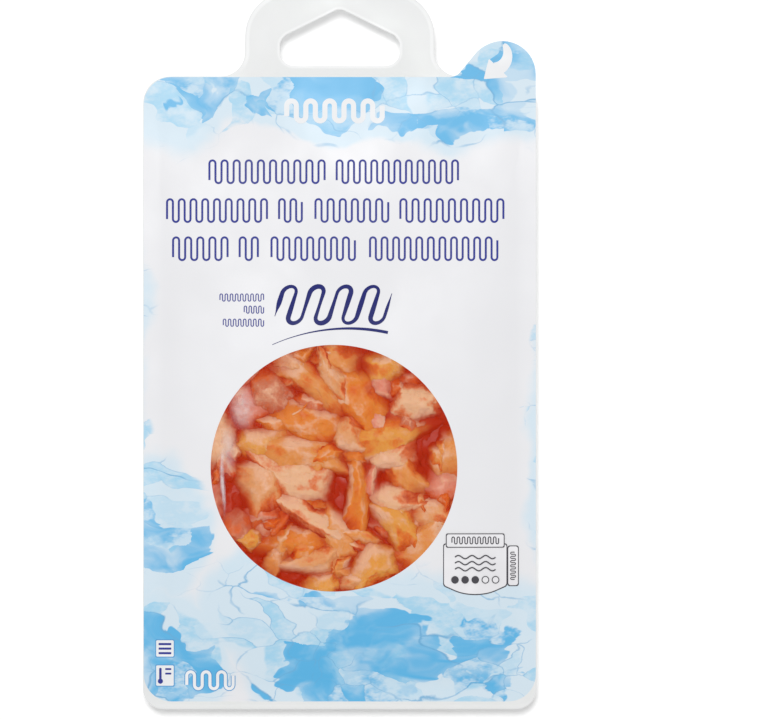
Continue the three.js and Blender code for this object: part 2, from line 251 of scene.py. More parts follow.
def texture(kind, place, output="Fac", **inputs):
    made = add_node(place.id_data, "Tex" + kind)
    dress(made, Vector=place, **inputs)
    return made.outputs[output]


def carried(shader, name, output="Fac"):
    """What the mesh's points carry under this name."""
    return add_node(shader.id_data, "Attribute", attribute_name=name).outputs[output]


def new_object(name, data):
    made = bpy.data.objects.new(name, data)
    bpy.context.scene.collection.objects.link(made)
    return made


def add_piece(name, bm, material, replaced=None, sharp_angle=35):
    """The finished mesh as a piece, in metres."""
    bmesh.ops.scale(bm, vec=(MM, MM, MM), verts=bm.verts)
    mesh = bpy.data.meshes.new(name)
    bm.to_mesh(mesh)
    bm.free()
    mesh.materials.append(material)
    mesh.shade_smooth()
    mesh.set_sharp_from_angle(angle=radians(sharp_angle))
    piece = new_object(name, mesh)
    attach(piece, "root")
    if replaced:
        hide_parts(replaced)
    return piece


# Faint clouds and a fine grain, as moulded and printed plastic has
cloud_values = ("Cloud Size", "Grain Size", "Relief")
cloud_outputs = {"Cloud": "Float", "Normal": "Vector"}
cloudy_plastic, given, out = new_effect("cloudy_plastic", cloud_values, cloud_outputs)
cloud_scale = reckon("DIVIDE", 1 / MM, given["Cloud Size"])
grain_scale = reckon("DIVIDE", 1 / MM, given["Grain Size"])
cloud = texture("Noise", given["Vector"], Scale=cloud_scale, Detail=3.0)
grain = texture("Noise", given["Vector"], Scale=grain_scale, Detail=2.0)
height = plus(times(cloud, 3.0), grain)
bump = add_node(cloudy_plastic, "Bump")
dress(bump, Strength=given["Relief"], Distance=0.05 * MM, Height=height)
plug(out["Cloud"], cloud)
plug(out["Normal"], bump.outputs["Normal"])


def new_plastic(name, roughness, cloud, grain, relief):
    """Cloudy plastic. Its roughness is given as two levels of the clouds and how rough each is,
    and the sizes of the clouds and the grain are in millimetres."""
    material, shader, place = new_material(name)
    clouds = use_effect(cloudy_plastic, place, Cloud_Size=cloud, Grain_Size=grain, Relief=relief)
    dress(shader, Roughness=ramp(clouds["Cloud"], *roughness), Normal=clouds["Normal"])
    return material, shader, place, clouds["Cloud"]


TRAY_ROUGHNESS = (0.25, 0.75, 0.34, 0.46)
tray_plastic, shader, place, cloud = new_plastic("tray_plastic", TRAY_ROUGHNESS, 16.0, 0.5, 0.25)
sheet_colour = blend(ramp(cloud, 0.3, 0.7), TRAY_GREY, TRAY_WHITE)
# Painted highlight: the bead is whiter than the sheet.
colour = blend(carried(shader, "bead"), sheet_colour, BEAD_HIGHLIGHT)
dress(shader, Base_Color=colour, Specular_IOR_Level=0.3)
dress(
    shader, Subsurface_Weight=0.25, Subsurface_Radius=(0.0015, 0.0015, 0.0016), Subsurface_Scale=1.0
)

tray = bmesh.new()
bead_and_highlight_layer = tray.verts.layers.float.new("bead")


def bead_share(y):
    """The bead and its painted highlight stand only where the lid doesn't cover the flange."""
    at_foot = FOOT_BEAD_SHARE - FOOT_BEAD_SHARE * smoothstep(*FOOT_BEAD, y)
    return max(smoothstep(*TAB_BEAD, y), at_foot)


flange_right = [
    (PACK_SIDE, FOOT_Y, FOOT_CORNER),
    (PACK_SIDE, SHOULDER_Y, SHOULDER_CORNER),
    (TAB_SIDE, SHOULDER_Y, TAB_FILLET),
    (TAB_SIDE, TOP_Y, TAB_CORNER),
]
flange = rounded_face(tray, both_sides(flange_right))
long_edges = [edge for edge in flange.edges if edge.calc_length() > LONG_EDGE]
bmesh.ops.subdivide_edges(tray, edges=long_edges, cuts=LONG_EDGE_CUTS)
for share, raised in BEAD_STEPS:
    width = BEAD_WIDTH * share
    bmesh.ops.inset_region(
        tray, faces=[flange], thickness=width, use_even_offset=True, use_boundary=True
    )
    for vert in flange.verts:
        vert[bead_and_highlight_layer] = raised * bead_share(vert.co.y)
        vert.co.z = BEAD_RISE * vert[bead_and_highlight_layer]


def peg_hole(margin):
    """The peg hole's outline, moved out by a margin all round."""
    slope = atan2(PEG_PEAK - PEG_EAVES, PEG_SIDE)
    side = PEG_SIDE + margin
    eaves = PEG_EAVES + margin * (1 / cos(slope) - tan(slope))
    right = [
        (side, PEG_FOOT - margin, PEG_FOOT_CORNER + margin),
        (side, eaves, PEG_EAVES_CORNER + margin),
        (0, PEG_PEAK + margin / cos(slope), PEG_PEAK_CORNER + margin),
    ]
    return rounded_face(tray, both_sides(right))


hole_loops = []
for margin, raised in PEG_BEAD_STEPS:
    loop = open_loop(tray, peg_hole(margin))
    for vert in {vert for edge in loop for vert in edge.verts}:
        vert.co.z = BEAD_RISE * raised
        vert[bead_and_highlight_layer] = raised
    hole_loops.append(loop)
for inner, outer in zip(hole_loops, hole_loops[1:]):
    bmesh.ops.bridge_loops(tray, edges=inner + outer)
mouth_edges = open_loop(tray, mouth_face(tray))
top_edges = open_loop(tray, flange) + hole_loops[-1] + mouth_edges
bmesh.ops.triangle_fill(tray, use_beauty=True, edges=top_edges)
bmesh.ops.translate(tray, vec=(0, 0, TRAY_HEIGHT), verts=tray.verts)
draw_down(tray, mouth_edges, wall_levels(0)[1:])
bmesh.ops.remove_doubles(tray, verts=tray.verts, dist=0.001)
bmesh.ops.recalc_face_normals(tray, faces=tray.faces)
if max(tray.faces, key=lambda face: face.calc_center_median().z).normal.z < 0:
    bmesh.ops.reverse_faces(tray, faces=tray.faces)
bmesh.ops.solidify(tray, geom=tray.faces[:], thickness=WALL)
add_piece("tray_sheet", tray, tray_plastic, "tray")

# ---- bed of salmon
# The pieces that lie too deep to be told apart: moist flesh that fills the tub up to the loose
# offcuts, painted deep red as the shade it lies in. Its sides follow the tub's wall, and its
# top is lumpy.

CLEARANCE = 0.4  # between the fish and the tub
BED_TOP = 7.4
BED_LUMPS, LUMP_SIZE, SMALL_LUMP_SIZE = 1.1, 7, 2.4
BED_GRID = 1.8
DOME = 1.4
DOME_FLATNESS = 4


def dome_at(x, y):
    """How far the lid stands above the flange: the gas in the pack lifts it over the mouth."""
    across = min(1, abs(x) / MOUTH_SIDE)
    along = min(1, abs(y - MOUTH_Y) / MOUTH_REACH)
    return DOME * (1 - across**DOME_FLATNESS) * (1 - along**DOME_FLATNESS)


def cut_grid(bm, spacing):
    """Cuts a flat mesh into cells, so that it can follow a curve."""
    for axis in (0, 1):
        places = [vert.co[axis] for vert in bm.verts]
        low, high = min(places), max(places)
        normal = Vector((axis == 0, axis == 1, 0))
        count = ceil((high - low) / spacing)
        for i in range(1, count):
            middle = normal * (low + (high - low) * i / count)
            parts = bm.verts[:] + bm.edges[:] + bm.faces[:]
            bmesh.ops.bisect_plane(bm, geom=parts, dist=1e-5, plane_co=middle, plane_no=normal)


def rough(x, y, z, size, depth=1):
    """Smooth noise from -1 to 1 whose lumps are about as wide as size."""
    return noise.fractal(Vector((x, y, z)) / size, 0.6, 2.0, depth)


def salmon_mesh():
    """An empty mesh whose points will carry what the salmon's material reads."""
    bm = bmesh.new()
    bm.verts.layers.float_color.new("tone")
    bm.verts.layers.float.new("pallor_level")
    bm.verts.layers.float_vector.new("grain")
    return bm


def salmon_layers(bm):
    layers = bm.verts.layers
    return layers.float_color["tone"], layers.float["pallor_level"], layers.float_vector["grain"]


bed = salmon_mesh()
mouth_face(bed)
bed_levels = [level for level in wall_levels(-CLEARANCE) if TRAY_HEIGHT - level[1] < BED_TOP]
draw_in(bed.verts, bed_levels[0][0], 0)
cut_grid(bed, BED_GRID)
for vert in bed.verts:
    x, y = vert.co.xy
    vert.co.z = BED_TOP + dome_at(x, y)
    if not vert.is_boundary:
        small = rough(x, y, 5, SMALL_LUMP_SIZE, 2)
        vert.co.z += BED_LUMPS * (rough(x, y, 0, LUMP_SIZE, 2) + 0.5 * small)
draw_down(bed, [edge for edge in bed.edges if edge.is_boundary], bed_levels)
bmesh.ops.recalc_face_normals(bed, faces=bed.faces)

# Moist smoked salmon. Each vertex carries the tone of its piece, its pallor, which makes it paler
# or redder there (through drying, random patches, painted highlight and painted shade), and its
# place in the piece, which the fibres and lines of fat follow.
FLESH_RED = seen(172, 36, 0)
FLESH_EMBER = seen(210, 94, 30)
PALE_CREAM = seen(220, 170, 138)
# colours over the tone: the pallor where each begins and is full, and its full share. Ember and
# red also paint shade, and the pale cream also paints highlight.
PALLOR_COLOURS = (
    (FLESH_EMBER, 0.1, -0.55, 0.8),
    (FLESH_RED, -0.35, -1.25, 0.9),
    (PALE_CREAM, 0.1, 0.95, 0.9),
)
# Painted shade: flesh is painted deeper red the lower it lies, between these two heights.
SUNK, SHALLOW = 9.4 * MM, 12.5 * MM  # all red below the first, and untouched above the second
FAT_LINE, FAT_STRENGTH = 0.86, 0.12
RELIEF = 0.12 * MM
SALMON_GLOW = 0.24  # painted glow: the flesh gives out light in its own colour, standing in for light scattered inside it
salmon_flesh, shader, place = new_material("salmon_flesh")
grain = carried(shader, "grain", "Vector")
height = add_node(salmon_flesh.node_tree, "SeparateXYZ", {"Vector": place}).outputs["Z"]
mottle = texture("Noise", grain, Scale=0.13, Detail=4.0, Roughness=0.5)
speck = texture("Noise", grain, Scale=1.3, Detail=3.0)
fat = texture("Wave", grain, Scale=0.07, Distortion=9.0, Detail=3.0, Detail_Scale=0.3)
fat.node.bands_direction = "DIAGONAL"
fibre = texture("Wave", grain, Scale=0.45, Distortion=4.0, Detail=2.0, Detail_Scale=0.7)
pallor = plus(carried(shader, "pallor_level"), ramp(speck, 0.3, 0.7, -0.1, 0.1))
pallor = plus(pallor, ramp(mottle, 0.25, 0.75, 0.42, -0.5))
colour = carried(shader, "tone", "Color")
for paint, begins, full, share in PALLOR_COLOURS:
    colour = blend(ramp(pallor, begins, full, 0.0, share), colour, paint)
fat_strength = ramp(mottle, 0.4, 0.6, 0.0, FAT_STRENGTH)
fat_lines = times(ramp(fat, FAT_LINE, 1.0), fat_strength)
colour = blend(fat_lines, colour, PALE_CREAM)
# Painted shade: low-lying flesh turns deep red.
colour = blend(ramp(height, SUNK, SHALLOW, 1.0, 0), colour, FLESH_RED)
relief = plus(times(fibre, 0.4), speck)
bump = add_node(salmon_flesh.node_tree, "Bump")
dress(bump, Strength=0.3, Distance=RELIEF, Height=relief)
dress(
    shader,
    Base_Color=colour,
    Roughness=ramp(mottle, 0.35, 0.7, 0.26, 0.44),
    IOR=1.4,
    Normal=bump.outputs["Normal"],
    Subsurface_Weight=0.6,
    Subsurface_Radius=(0.0016, 0.0012, 0.0009),
    Subsurface_Scale=1.0,
    Specular_IOR_Level=0.12,
    Emission_Color=colour,
    Emission_Strength=SALMON_GLOW,
)

tone_layer, pallor_layer, grain_layer = salmon_layers(bed)
# Painted shade: the bed takes the deep red of shaded flesh.
for vert in bed.verts:
    vert[tone_layer] = FLESH_RED
    vert[pallor_layer] = 0.0
    vert[grain_layer] = vert.co
add_piece("salmon_bed", bed, salmon_flesh, "salmon", sharp_angle=60)

# ---- salmon offcuts
# The pieces seen through the window: trimmings of smoked side, 8 to 29 mm long, cut on all sides
# and tossed in loose. They lean on each other, and the highest touch the film. Cut edges are
# paler, partly dried and partly painted highlight, and the low and downward parts of the pieces
# are painted deeper red as shade.

WINDOW_X, WINDOW_Y = -1.9, -38.9
THICKNESS = 6.5
FILM_LOW = TRAY_HEIGHT + 0.1
TUB_SIDE = MOUTH_SIDE - 6.5  # the offcuts stay clear of the tub's wall
GROWTH = 1.08  # of a piece over the size in its row, so that it meets its neighbours
SHARPNESS = 16  # of the edges between the cuts
LEAN = 1.1  # how far a leaning piece's end is raised
BEND = 0.35
OUTLINE_LEVEL = 0.35  # the share of its half height where a piece has its full outline
# The cuts, on a piece of half size 1: how far each faces up, in degrees, its distance from the
# middle, and its pallor. Pairs are the least and the most.
SIDE_LIFT, SIDE_REACH, SIDE_DRYNESS = (22, 58), (0.96, 1.1), (-0.45, 0.35)
TOP_LIFT, TOP_REACH, TOP_DRYNESS = (58, 88), (0.78, 0.9), (-0.25, 0.25)
# The palest side is dried flesh, with a painted highlight on it as well.
PALEST_LIFT, PALEST_PALLOR = 40, 0.9
# The underside's low pallor is painted shade.
UNDER_REACH, UNDER_SHADE = 0.85, -1.2
FRAY_SIZE, FRAY, FRAYED_CUTS = 1.6, 0.48, 0.12  # raggedness of the outline and of the cuts
LUMP, LUMP_LENGTH, PIMPLE = 0.45, 5, 0.1
# Ridges between cuts are paler, as dried edges and as painted highlight. The lower sides of a piece are
# painted redder, as shade.
EDGE_PALLOR, PATCH_DRYNESS, PATCH_LENGTH, UNDERSIDE_SHADE = 0.8, 0.4, 8, 0.6
GIVE = 0.3  # how softly a piece flattens under the film
TONES = {
    "peach": seen(213, 138, 73), "cream": seen(220, 172, 134), "pale": seen(214, 149, 98),
    "orange": seen(214, 125, 49), "ember": seen(205, 93, 32), "red": seen(184, 46, 4),
    "pink": seen(212, 134, 110), "yellow": seen(215, 147, 68), "brown": seen(194, 111, 80),
}
DARK_TONES = ("red", "brown")  # these have no pale side: neither a dried edge nor a painted highlight
# x and y from the window's middle, length, width, turn, top, tone, and turn of the palest side
OFFCUTS = [
    (-29, 29.5, 11, 6, 42, 11.8, "pink", 135), (-19.5, 34, 15, 9, 55, 9.6, "red", 0),
    (-12.5, 37.5, 12, 6, 20, 11.8, "orange", 45), (-7.5, 36.5, 9, 7, 100, 10.2, "red", 0),
    (0, 37.5, 14, 9, -15, 12.6, "peach", 100), (13.5, 38, 12, 8, 10, 10, "red", 0),
    (18, 32.5, 12, 9, 20, 12.8, "yellow", 120), (23, 28.5, 16, 7, 10, 11.2, "ember", 90),
    (-20.5, 23.2, 11.8, 11.2, 0, 13.3, "brown", 110), (-13, 25.5, 10, 8, 80, 9.4, "red", 60),
    (-7, 21, 14, 6, -14, 11.8, "ember", 60), (-12.5, 33, 10, 5.5, -25, 12.6, "pale", 60),
    (-7, 27, 27, 8, -36, 13, "peach", 140), (-1, 29, 18, 5.5, -56, 13.6, "pale", 60),
    (7.5, 24.5, 18, 10.5, -64, 13.6, "orange", 170), (14.5, 29, 12, 8, -50, 12.2, "pink", 60),
    (13.3, 17.5, 13, 7, -68, 12.6, "pink", 0), (26, 20.5, 14, 8.6, 12, 13.8, "cream", -60),
    (20, 17, 12, 6, 0, 11.2, "brown", 90), (34.5, 20, 20, 7, -62, 10, "red", 90),
    (-30.5, 19.5, 15, 9, -70, 12.4, "pink", 100), (-25.5, 16, 8, 6, -60, 10.8, "red", 100),
    (-26.5, 8, 14, 9, -8, 13, "yellow", 90), (-37, 6.5, 16, 9, 70, 12.6, "cream", 0),
    (-39, -12, 22, 8, 102, 11.4, "pink", 0), (-30.5, 0, 12, 7, 35, 10.6, "ember", 90),
    (-33, -9, 17, 10, 80, 10.3, "red", 90), (-20.5, 2.5, 11, 6, -30, 11.6, "orange", 90),
    (-24, -4, 13.4, 10.4, -52, 13.9, "pale", 110), (-23.5, -14.5, 13, 6, 0, 12.2, "pink", -90),
    (-32, -18, 12, 10, -35, 12.2, "brown", 120), (-21, -20, 14, 9, -15, 11, "ember", 90),
    (-27, -23.5, 7, 6, 35, 13, "yellow", 60), (-27, -28, 14, 8, -40, 10, "red", 90),
    (-8, 15.5, 20, 11, -12, 13.2, "orange", 80), (-17.5, 14, 11, 6, 5, 12.4, "orange", 120),
    (3.5, 11.5, 10, 8, -60, 13.7, "pale", -80), (-8.5, 4.5, 26, 10, -8, 13.5, "peach", 110),
    (-9.5, -5, 17, 10.5, 6, 13.8, "cream", -90), (-9, -11.5, 14, 5, -5, 11.8, "orange", 90),
    (0.5, -9.5, 20, 10, 68, 9.6, "red", 90), (12, 11, 10, 6, 20, 12.2, "ember", 60),
    (6, 4, 10, 5, -10, 12, "orange", 120), (7.3, -7, 22, 5.6, 88, 13.6, "orange", 180),
    (11.7, -5.5, 12, 3.6, 82, 12.4, "pink", 0), (11.5, -12, 22, 10, 84, 9.8, "red", 0),
    (16.6, 8.5, 17, 10.5, 20, 13.4, "yellow", -95), (29.5, 8, 24, 10, 80, 9.6, "red", 0),
    (37.5, 5.5, 16, 9, 68, 12.8, "peach", 150), (38, -5.5, 12, 11, 20, 12.4, "pink", 100),
    (31, -5, 12, 7, -50, 9.8, "red", 90), (22.5, -3.5, 14, 9, -50, 13, "peach", 100),
    (19.5, -10, 12, 8, -10, 13.7, "cream", 150), (21.5, -17, 15, 8, -52, 13.8, "yellow", 200),
    (31.5, -14.5, 16, 9, -15, 13, "pale", 100), (34.5, -11, 11, 6, -35, 10.8, "ember", 90),
    (28, -25.5, 23, 12, 34, 12.8, "peach", 30), (23, -33, 14, 8, 32, 10.8, "ember", 90),
    (16.5, -19.5, 17, 7, -42, 11, "brown", 60), (-8.5, -15.2, 22, 7.4, -31, 13.9, "cream", 150),
    (2, -23, 15, 9, -48, 13.3, "peach", 60), (-8.5, -24, 17, 9, -5, 12.8, "orange", 90),
    (-7.5, -31, 18, 7.5, 12, 13.4, "pale", -110), (5.5, -29, 18, 8, 18, 9.6, "red", 90),
    (9.5, -23, 12, 5.4, -20, 12.6, "peach", 120), (14, -31, 13, 9.5, 40, 13.7, "yellow", 150),
    (-17.5, -25.5, 9, 5, 70, 12.6, "peach", 20), (-20.5, -31, 13, 7, 66, 12, "peach", 90),
    (-13.5, -36.5, 14, 8, -10, 9.8, "red", 90), (-4.5, -38.5, 10, 8, 0, 12.8, "yellow", 90),
    (3.5, -34.5, 12, 4, -22, 12, "peach", 90), (6, -38.5, 10, 7, -10, 12.6, "pale", 100),
    (14.5, -38, 11, 6, 15, 10.6, "orange", 90), (17.2, 3.1, 11, 6, 12, 13.9, "cream", -80),
]


def draw(seed, turn, low=0, high=1):
    """A draw from low to high that is the same on every run."""
    value = sin(seed * 127.1 + turn * 311.7) * 43758.5453
    return low + (high - low) * (value - floor(value))


def facing_up(turn, lift):
    """The unit vector that points turn round from +X and lift up from the level."""
    return Vector((cos(turn) * cos(lift), sin(turn) * cos(lift), sin(lift)))


def cut_planes(seed, pale_side, paleness, count):
    """The flat cuts that bound a piece of half size 1, count of them round its sides: how each
    faces, how far out it is, and its pallor. The underside's low pallor is painted shade, and the
    palest side's high pallor is dried flesh with a painted highlight."""
    planes = [(Vector((0, 0, -1)), UNDER_REACH, UNDER_SHADE)]
    for i in range(count):
        turn = pale_side + 2 * pi * (i + draw(seed, 10 + i, -0.25, 0.25)) / count
        lift = radians(draw(seed, 20 + i, *SIDE_LIFT) if i else PALEST_LIFT)
        reach = draw(seed, 30 + i, *SIDE_REACH) * cos(pi / count) ** 0.7
        pallor = draw(seed, 40 + i, *SIDE_DRYNESS) if i else paleness
        far = reach * cos(lift) + OUTLINE_LEVEL * sin(lift)
        planes.append((facing_up(turn, lift), far, pallor))
    for i in range(2):
        turn = 2 * pi * (draw(seed, 60) + i / 2 + 0.15 * draw(seed, 61 + i))
        facing = facing_up(turn, radians(draw(seed, 65 + i, *TOP_LIFT)))
        far = draw(seed, 70 + i, *TOP_REACH)
        planes.append((facing, far, draw(seed, 75 + i, *TOP_DRYNESS)))
    return planes


def pulls_of(planes, ray):
    """How strongly each cut holds the surface back along a ray."""
    return [(max(0, ray.dot(facing)) / far) ** SHARPNESS for facing, far, pallor in planes]


def add_offcut(bm, row, seed, fineness=5, thickness=THICKNESS):
    """One offcut: a ball cut flat by its planes, with ragged edges."""
    x, y, length, width, turn, top, tone, pale_side = row
    turn = radians(turn)
    paleness = 0 if tone in DARK_TONES else PALEST_PALLOR
    sides = round(3 + 3.4 * width / length)  # a long piece has three or four, and a round one six
    planes = cut_planes(seed, radians(pale_side) - turn, paleness, sides)
    half = Vector((length, width, thickness)) * (GROWTH / 2)
    bend = draw(seed, 80, -BEND, BEND) / length
    drift = seed * 13.7
    uphill = 2 * pi * draw(seed, 97)
    colour = TONES[tone]
    tone_layer, pallor_layer, grain_layer = salmon_layers(bm)
    for vert in bmesh.ops.create_icosphere(bm, subdivisions=fineness, radius=1)["verts"]:
        ray = vert.co.copy()
        at = ray * sum(pulls_of(planes, ray)) ** (-1 / SHARPNESS)
        along, across, rise = [a * b for a, b in zip(at, half)]
        frayed = noise.noise_vector(Vector((along, across, drift)) / FRAY_SIZE)
        shares = pulls_of(planes, ray + FRAYED_CUTS * frayed)
        whole = sum(shares)
        pallor = sum(share * plane[2] for share, plane in zip(shares, planes)) / whole
        # Painted highlight, with drying: paler where two cuts meet in a ridge.
        pallor += EDGE_PALLOR * (1 - max(shares) / whole)
        pallor += PATCH_DRYNESS * rough(along, across, drift + 6, PATCH_LENGTH, 2)
        pimple = PIMPLE * rough(along, across, drift + 5, FRAY_SIZE, 3)
        rise += LUMP * rough(along, across, drift, LUMP_LENGTH, 2) + pimple
        rise += LEAN * (at.x * cos(uphill) + at.y * sin(uphill))
        along += FRAY * rough(along, across, rise + drift, FRAY_SIZE, 3)
        across += FRAY * rough(along, across, rise + drift + 9, FRAY_SIZE, 3)
        across += bend * along * along
        vert[tone_layer] = colour
        # Painted shade: the lower part of each piece is redder.
        vert[pallor_layer] = pallor - UNDERSIDE_SHADE * (1 - smoothstep(-0.4, 0.4, at.z))
        vert[grain_layer] = (along + drift, across, rise)
        place_x = WINDOW_X + x + along * cos(turn) - across * sin(turn)
        place_x = min(TUB_SIDE, max(-TUB_SIDE, place_x))
        place_y = WINDOW_Y + y + along * sin(turn) + across * cos(turn)
        ceiling = FILM_LOW + dome_at(place_x, place_y) - 0.1
        room = ceiling - (top - thickness / 2 + rise)
        vert.co = (place_x, place_y, ceiling - GIVE * log1p(exp(min(50, room / GIVE))))


heap = {}
for tone in TONES:
    offcuts = heap[f"{tone}_offcuts"] = salmon_mesh()
    for seed, row in enumerate(OFFCUTS, 1):
        if tone in row:
            add_offcut(offcuts, row, seed)

# Scraps of 3 to 8 mm between the offcuts, each of the tone of the nearest offcut.
SCRAP_COUNT, FIRST_SCRAP_SEED = 50, 200
SCRAPS_RADIUS = 40
SCRAP_LENGTH, SCRAP_SHAPE, SCRAP_TOP, SCRAP_THICKNESS = (3.2, 7.2), (0.5, 0.9), (10.6, 13.2), 3.4
heap["scraps"] = salmon_mesh()
for seed in range(FIRST_SCRAP_SEED, FIRST_SCRAP_SEED + SCRAP_COUNT):
    far = SCRAPS_RADIUS * sqrt(draw(seed, 90))
    facing = 2 * pi * draw(seed, 91)
    x, y = far * cos(facing), far * sin(facing)
    nearest = min(OFFCUTS, key=lambda row: hypot(row[0] - x, row[1] - y))
    tone = nearest[6]
    if tone == "red":
        continue
    length = draw(seed, 92, *SCRAP_LENGTH)
    width = length * draw(seed, 93, *SCRAP_SHAPE)
    top = draw(seed, 94, *SCRAP_TOP)
    row = (x, y, length, width, draw(seed, 95, 0, 180), top, tone, draw(seed, 96, 0, 360))
    add_offcut(heap["scraps"], row, seed, fineness=4, thickness=SCRAP_THICKNESS)

# Painted shade: where a piece dips beside a higher one, its flesh is painted deeper red.
# A grid holds the highest place in each of its cells.
CELL = 0.5
CELLS_BESIDE = 4
SHALLOW_DIP, DEEP_DIP, DIP_SHADE = 1.2, 4.4, 0.9
tallest = {}
for bm in heap.values():
    tone_layer, pallor_layer, grain_layer = salmon_layers(bm)
    for vert in bm.verts:
        cell = (round(vert.co.x / CELL), round(vert.co.y / CELL))
        if cell not in tallest or vert.co.z > tallest[cell][0]:
            tallest[cell] = Vector((vert.co.z, vert[pallor_layer], *vert[tone_layer][:3]))
bare = Vector((BED_TOP, -1, *FLESH_RED[:3]))
span = range(-CELLS_BESIDE, CELLS_BESIDE + 1)
crowd = [(a, b) for a in span for b in span]
crowded = {}
for i, j in tallest:
    crowded[i, j] = max(tallest.get((i + a, j + b), bare)[0] for a, b in crowd)
for name, bm in heap.items():
    tone_layer, pallor_layer, grain_layer = salmon_layers(bm)
    for vert in bm.verts:
        dip = crowded[round(vert.co.x / CELL), round(vert.co.y / CELL)] - vert.co.z
        vert[pallor_layer] -= DIP_SHADE * smoothstep(SHALLOW_DIP, DEEP_DIP, dip)
    bmesh.ops.recalc_face_normals(bm, faces=bm.faces)
    add_piece(name, bm, salmon_flesh, sharp_angle=70)

# Juice and fat fill the grooves where pieces meet, tinted by what lies round them and painted a
# little redder, as shade in the grooves.
JUICE_DEPTH, JUICE_SPREAD, JUICE_SIDE, JUICE_THICKNESS = 0.5, 0.8, 44, 0.4
JUICE_SHADE = 0.2
reach = ceil(2 * JUICE_SPREAD / CELL)
weights = [exp(-((CELL * i / JUICE_SPREAD) ** 2) / 2) for i in range(-reach, reach + 1)]
weights = [weight / sum(weights) for weight in weights]


def spread_out(cells, step_i, step_j):
    """What the cells hold, averaged along one way of the grid."""
    averaged = {}
    for i, j in cells:
        averaged[i, j] = Vector.Fill(5, 0)
        for n, weight in enumerate(weights, -reach):
            averaged[i, j] += weight * cells.get((i + n * step_i, j + n * step_j), bare)
    return averaged


level_cells = spread_out(spread_out(tallest, 1, 0), 0, 1)
juice = salmon_mesh()
count = round(2 * JUICE_SIDE / CELL)
bmesh.ops.create_grid(juice, x_segments=count, y_segments=count, size=JUICE_SIDE)
tone_layer, pallor_layer, grain_layer = salmon_layers(juice)
for vert in juice.verts:
    x, y = vert.co.x + WINDOW_X, vert.co.y + WINDOW_Y
    height, pallor, *tint = level_cells.get((round(x / CELL), round(y / CELL)), bare)
    vert.co = (x, y, height - JUICE_DEPTH)
    vert[tone_layer] = (*tint, 1)
    vert[pallor_layer] = pallor - JUICE_SHADE
    vert[grain_layer] = vert.co
bmesh.ops.smooth_vert(juice, verts=juice.verts, factor=0.5, use_axis_z=True)
bmesh.ops.solidify(juice, geom=juice.faces[:], thickness=JUICE_THICKNESS)
add_piece("juice", juice, salmon_flesh, sharp_angle=70)

# ---- sealing film
# A clear, glossy film over the whole mouth, sealed to the flange. It runs out with the printed
# film into the peel tab. The gas in the pack domes it, and it is slightly creased over the fish.

LID_SIDE = PACK_SIDE - 0.3
LID_FOOT = FOOT_Y + 2.6
LID_SHOULDER = SHOULDER_Y - 0.3
LID_FOOT_CORNER = 9
PEEL_TOP, PEEL_CORNER = 102.1, 11
PEEL_LEFT, PEEL_ROOT, PEEL_ROOT_FILLET = 48.2, 38.4, 4
LID_CORNERS = [
    (-LID_SIDE, LID_FOOT, LID_FOOT_CORNER),
    (LID_SIDE, LID_FOOT, LID_FOOT_CORNER),
    (LID_SIDE, PEEL_TOP, PEEL_CORNER),
    (PEEL_LEFT, PEEL_TOP, PEEL_CORNER),
    (PEEL_ROOT, LID_SHOULDER, PEEL_ROOT_FILLET),
    (-LID_SIDE, LID_SHOULDER, SHOULDER_CORNER),
]
FILM = 0.25
PLY_GAP = 0.1
LID_GRID = 2.2
RIPPLE, RIPPLE_LENGTH, RIPPLE_STRETCH = 0.09, 17, 0.6
CREASE_X, CREASE_Y, CREASE_HALF_LENGTH, CREASE_HALF_WIDTH, CREASE_RISE = -38.4, -43, 13.5, 0.9, 0.04
CREASE_SWAY, CREASE_SWAY_LENGTH = 0.6, 5


def lid_rise(x, y):
    """How far a film of the lid stands above the flange, with its ripples."""
    dome = dome_at(x, y)
    ripple = RIPPLE * smoothstep(0, 0.5, dome)
    return dome + ripple * rough(x, y * RIPPLE_STRETCH, 2, RIPPLE_LENGTH, 2)


def make_film(bm, edges, low, rise):
    """Fills the outline, gives it its thickness and lays it on the dome."""
    bmesh.ops.triangle_fill(bm, use_beauty=True, edges=edges)
    bmesh.ops.recalc_face_normals(bm, faces=bm.faces)
    if bm.faces[:][0].normal.z < 0:
        bmesh.ops.reverse_faces(bm, faces=bm.faces)
    cut_grid(bm, LID_GRID)
    bmesh.ops.solidify(bm, geom=bm.faces[:], thickness=FILM)
    for vert in bm.verts:
        vert.co.z += low + FILM + rise(vert.co.x, vert.co.y)


def sealing_rise(x, y):
    sway = CREASE_SWAY * sin(y / CREASE_SWAY_LENGTH)
    across = 1 - smoothstep(0, 1, abs(x - CREASE_X - sway) / CREASE_HALF_WIDTH)
    along = 1 - smoothstep(0.3, 1, abs(y - CREASE_Y) / CREASE_HALF_LENGTH)
    return lid_rise(x, y) + CREASE_RISE * across * along


CLEAR_GREY = (0.93, 0.95, 0.96, 1)
CLEAR_GLOSS = 0.2  # the share of its reflection that shows
clear_film, shader, place, cloud = new_plastic("clear_film", (0.3, 0.7, 0.05, 0.12), 7.0, 2.5, 0.3)
edge_on = add_node(clear_film.node_tree, "Fresnel", {"IOR": 1.4}).outputs[0]
gloss = times(edge_on, CLEAR_GLOSS)
dress(shader, Base_Color=blend(cloud, CLEAR_GREY, (1, 1, 1, 1)), Metallic=1.0, Alpha=gloss)
clear = bmesh.new()
make_film(clear, open_loop(clear, rounded_face(clear, LID_CORNERS)), FILM_LOW, sealing_rise)
clear_sheet = add_piece("clear_film", clear, clear_film, "sealing_film")
clear_sheet.visible_shadow = clear_sheet.visible_diffuse = False

